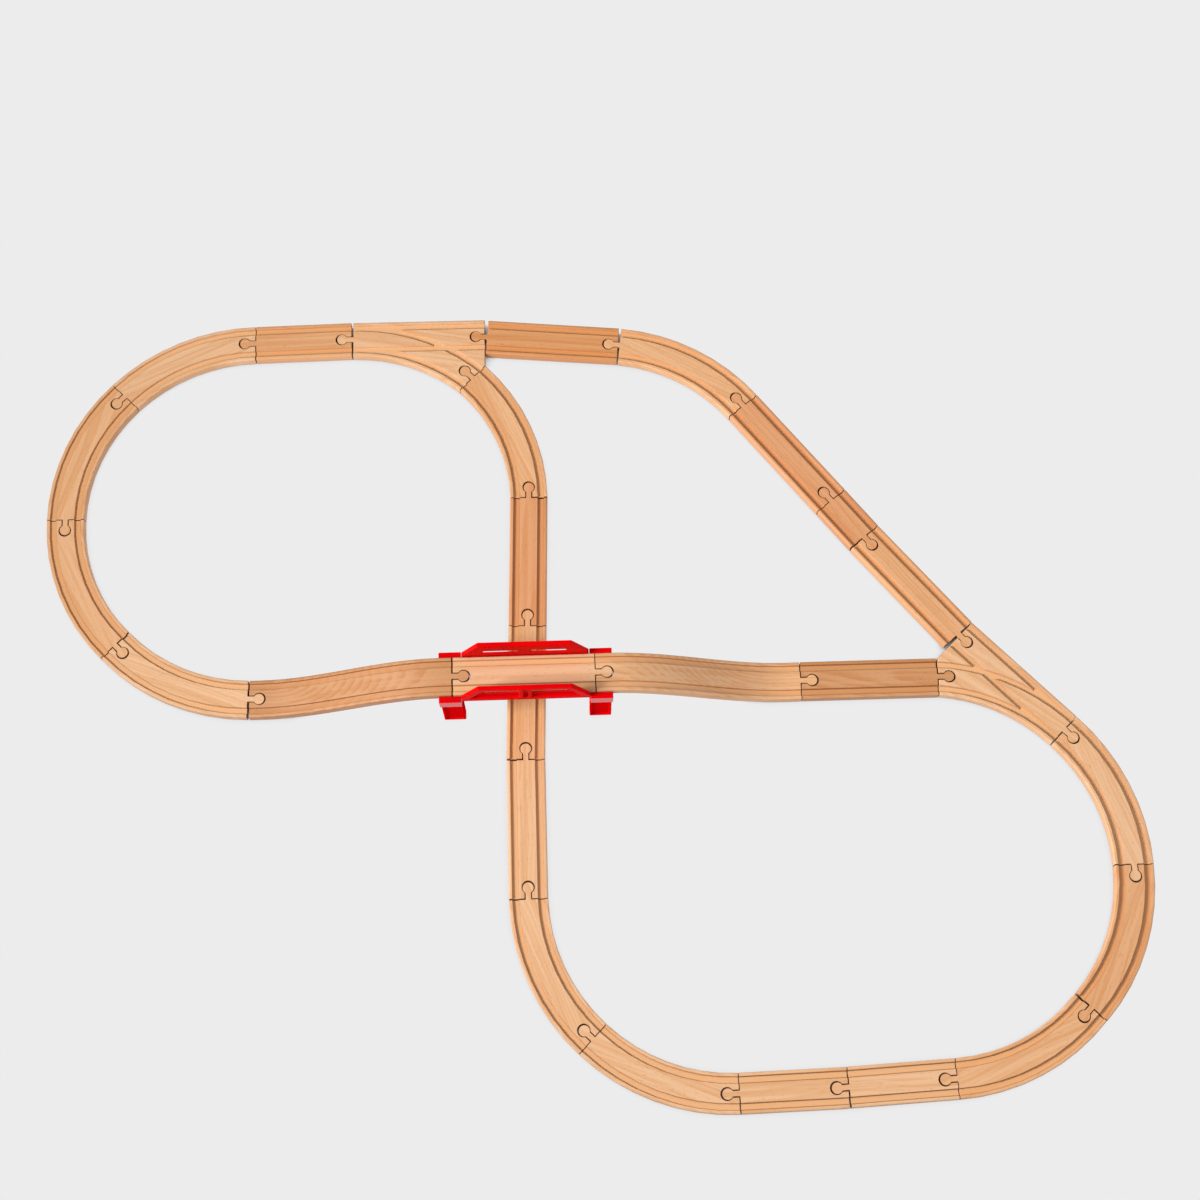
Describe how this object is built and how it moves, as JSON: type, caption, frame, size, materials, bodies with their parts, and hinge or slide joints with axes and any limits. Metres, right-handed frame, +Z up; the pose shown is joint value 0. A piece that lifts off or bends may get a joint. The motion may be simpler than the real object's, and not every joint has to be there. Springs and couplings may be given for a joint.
{
  "type": "wooden train track",
  "caption": "Wooden toy railway of grooved pieces joined by pegs and sockets: a circuit that crosses itself under a ramped red plastic bridge, with switches and a by-pass.",
  "frame": {"origin": "middle of the layout's box, on the floor it lies on", "axes": "+X along the layout's length, to the right in the picture; +Y to the picture's top; +Z up"},
  "size_m": [1.1624, 0.858, 0.109],
  "materials": {
    "beech": "clear satin lacquer on beech",
    "red_plastic": "glossy moulded plastic, coloured through"
  },
  "bodies": {
    "bridge_piers": {"bridge_pier_west": "red_plastic", "bridge_pier_east": "red_plastic"},
    "bridge_span": {"bridge_deck": "beech", "bridge_girder_north": "red_plastic", "bridge_girder_south": "red_plastic"},
    "curve_centre": {"curve_centre": "beech"},
    "curve_west_1": {"curve_west_1": "beech"},
    "curve_west_2": {"curve_west_2": "beech"},
    "curve_west_3": {"curve_west_3": "beech"},
    "curve_west_4": {"curve_west_4": "beech"},
    "curve_east_1": {"curve_east_1": "beech"},
    "curve_east_2": {"curve_east_2": "beech"},
    "curve_east_3": {"curve_east_3": "beech"},
    "curve_south_1": {"curve_south_1": "beech"},
    "curve_south_2": {"curve_south_2": "beech"},
    "bypass_curve": {"bypass_curve": "beech"},
    "straight_under_bridge": {"straight_under_bridge": "beech"},
    "straight_north_of_bridge": {"straight_north_of_bridge": "beech"},
    "straight_south_of_bridge": {"straight_south_of_bridge": "beech"},
    "straight_north_west": {"straight_north_west": "beech"},
    "straight_east": {"straight_east": "beech"},
    "straight_south_1": {"straight_south_1": "beech"},
    "straight_south_2": {"straight_south_2": "beech"},
    "bypass_straight_1": {"bypass_straight_1": "beech"},
    "bypass_straight_2": {"bypass_straight_2": "beech"},
    "bypass_straight_3": {"bypass_straight_3": "beech"},
    "bypass_connector": {"bypass_connector": "beech"},
    "switch_west": {"switch_west": "beech"},
    "switch_east": {"switch_east": "beech"},
    "ramp_west": {"ramp_west": "beech"},
    "ramp_east": {"ramp_east": "beech"}
  },
  "joints": [
    {"name": "lift_bridge_span", "type": "slide", "parent": "bridge_piers", "child": "bridge_span", "axis": [0, 0, 1], "range_m": [0, 0.03]},
    {"name": "lift_curve_centre", "type": "slide", "parent": "bridge_piers", "child": "curve_centre", "axis": [0, 0, 1], "range_m": [0, 0.03]},
    {"name": "lift_curve_west_1", "type": "slide", "parent": "bridge_piers", "child": "curve_west_1", "axis": [0, 0, 1], "range_m": [0, 0.03]},
    {"name": "lift_curve_west_2", "type": "slide", "parent": "bridge_piers", "child": "curve_west_2", "axis": [0, 0, 1], "range_m": [0, 0.03]},
    {"name": "lift_curve_west_3", "type": "slide", "parent": "bridge_piers", "child": "curve_west_3", "axis": [0, 0, 1], "range_m": [0, 0.03]},
    {"name": "lift_curve_west_4", "type": "slide", "parent": "bridge_piers", "child": "curve_west_4", "axis": [0, 0, 1], "range_m": [0, 0.03]},
    {"name": "lift_curve_east_1", "type": "slide", "parent": "bridge_piers", "child": "curve_east_1", "axis": [0, 0, 1], "range_m": [0, 0.03]},
    {"name": "lift_curve_east_2", "type": "slide", "parent": "bridge_piers", "child": "curve_east_2", "axis": [0, 0, 1], "range_m": [0, 0.03]},
    {"name": "lift_curve_east_3", "type": "slide", "parent": "bridge_piers", "child": "curve_east_3", "axis": [0, 0, 1], "range_m": [0, 0.03]},
    {"name": "lift_curve_south_1", "type": "slide", "parent": "bridge_piers", "child": "curve_south_1", "axis": [0, 0, 1], "range_m": [0, 0.03]},
    {"name": "lift_curve_south_2", "type": "slide", "parent": "bridge_piers", "child": "curve_south_2", "axis": [0, 0, 1], "range_m": [0, 0.03]},
    {"name": "lift_bypass_curve", "type": "slide", "parent": "bridge_piers", "child": "bypass_curve", "axis": [0, 0, 1], "range_m": [0, 0.03]},
    {"name": "lift_straight_under_bridge", "type": "slide", "parent": "bridge_piers", "child": "straight_under_bridge", "axis": [0, 0, 1], "range_m": [0, 0.03]},
    {"name": "lift_straight_north_of_bridge", "type": "slide", "parent": "bridge_piers", "child": "straight_north_of_bridge", "axis": [0, 0, 1], "range_m": [0, 0.03]},
    {"name": "lift_straight_south_of_bridge", "type": "slide", "parent": "bridge_piers", "child": "straight_south_of_bridge", "axis": [0, 0, 1], "range_m": [0, 0.03]},
    {"name": "lift_straight_north_west", "type": "slide", "parent": "bridge_piers", "child": "straight_north_west", "axis": [0, 0, 1], "range_m": [0, 0.03]},
    {"name": "lift_straight_east", "type": "slide", "parent": "bridge_piers", "child": "straight_east", "axis": [0, 0, 1], "range_m": [0, 0.03]},
    {"name": "lift_straight_south_1", "type": "slide", "parent": "bridge_piers", "child": "straight_south_1", "axis": [0, 0, 1], "range_m": [0, 0.03]},
    {"name": "lift_straight_south_2", "type": "slide", "parent": "bridge_piers", "child": "straight_south_2", "axis": [0, 0, 1], "range_m": [0, 0.03]},
    {"name": "lift_bypass_straight_1", "type": "slide", "parent": "bridge_piers", "child": "bypass_straight_1", "axis": [0, 0, 1], "range_m": [0, 0.03]},
    {"name": "lift_bypass_straight_2", "type": "slide", "parent": "bridge_piers", "child": "bypass_straight_2", "axis": [0, 0, 1], "range_m": [0, 0.03]},
    {"name": "lift_bypass_straight_3", "type": "slide", "parent": "bridge_piers", "child": "bypass_straight_3", "axis": [0, 0, 1], "range_m": [0, 0.03]},
    {"name": "lift_bypass_connector", "type": "slide", "parent": "bridge_piers", "child": "bypass_connector", "axis": [0, 0, 1], "range_m": [0, 0.03]},
    {"name": "lift_switch_west", "type": "slide", "parent": "bridge_piers", "child": "switch_west", "axis": [0, 0, 1], "range_m": [0, 0.03]},
    {"name": "lift_switch_east", "type": "slide", "parent": "bridge_piers", "child": "switch_east", "axis": [0, 0, 1], "range_m": [0, 0.03]},
    {"name": "lift_ramp_west", "type": "slide", "parent": "bridge_piers", "child": "ramp_west", "axis": [0, 0, 1], "range_m": [0, 0.03]},
    {"name": "lift_ramp_east", "type": "slide", "parent": "bridge_piers", "child": "ramp_east", "axis": [0, 0, 1], "range_m": [0, 0.03]}
  ]
}
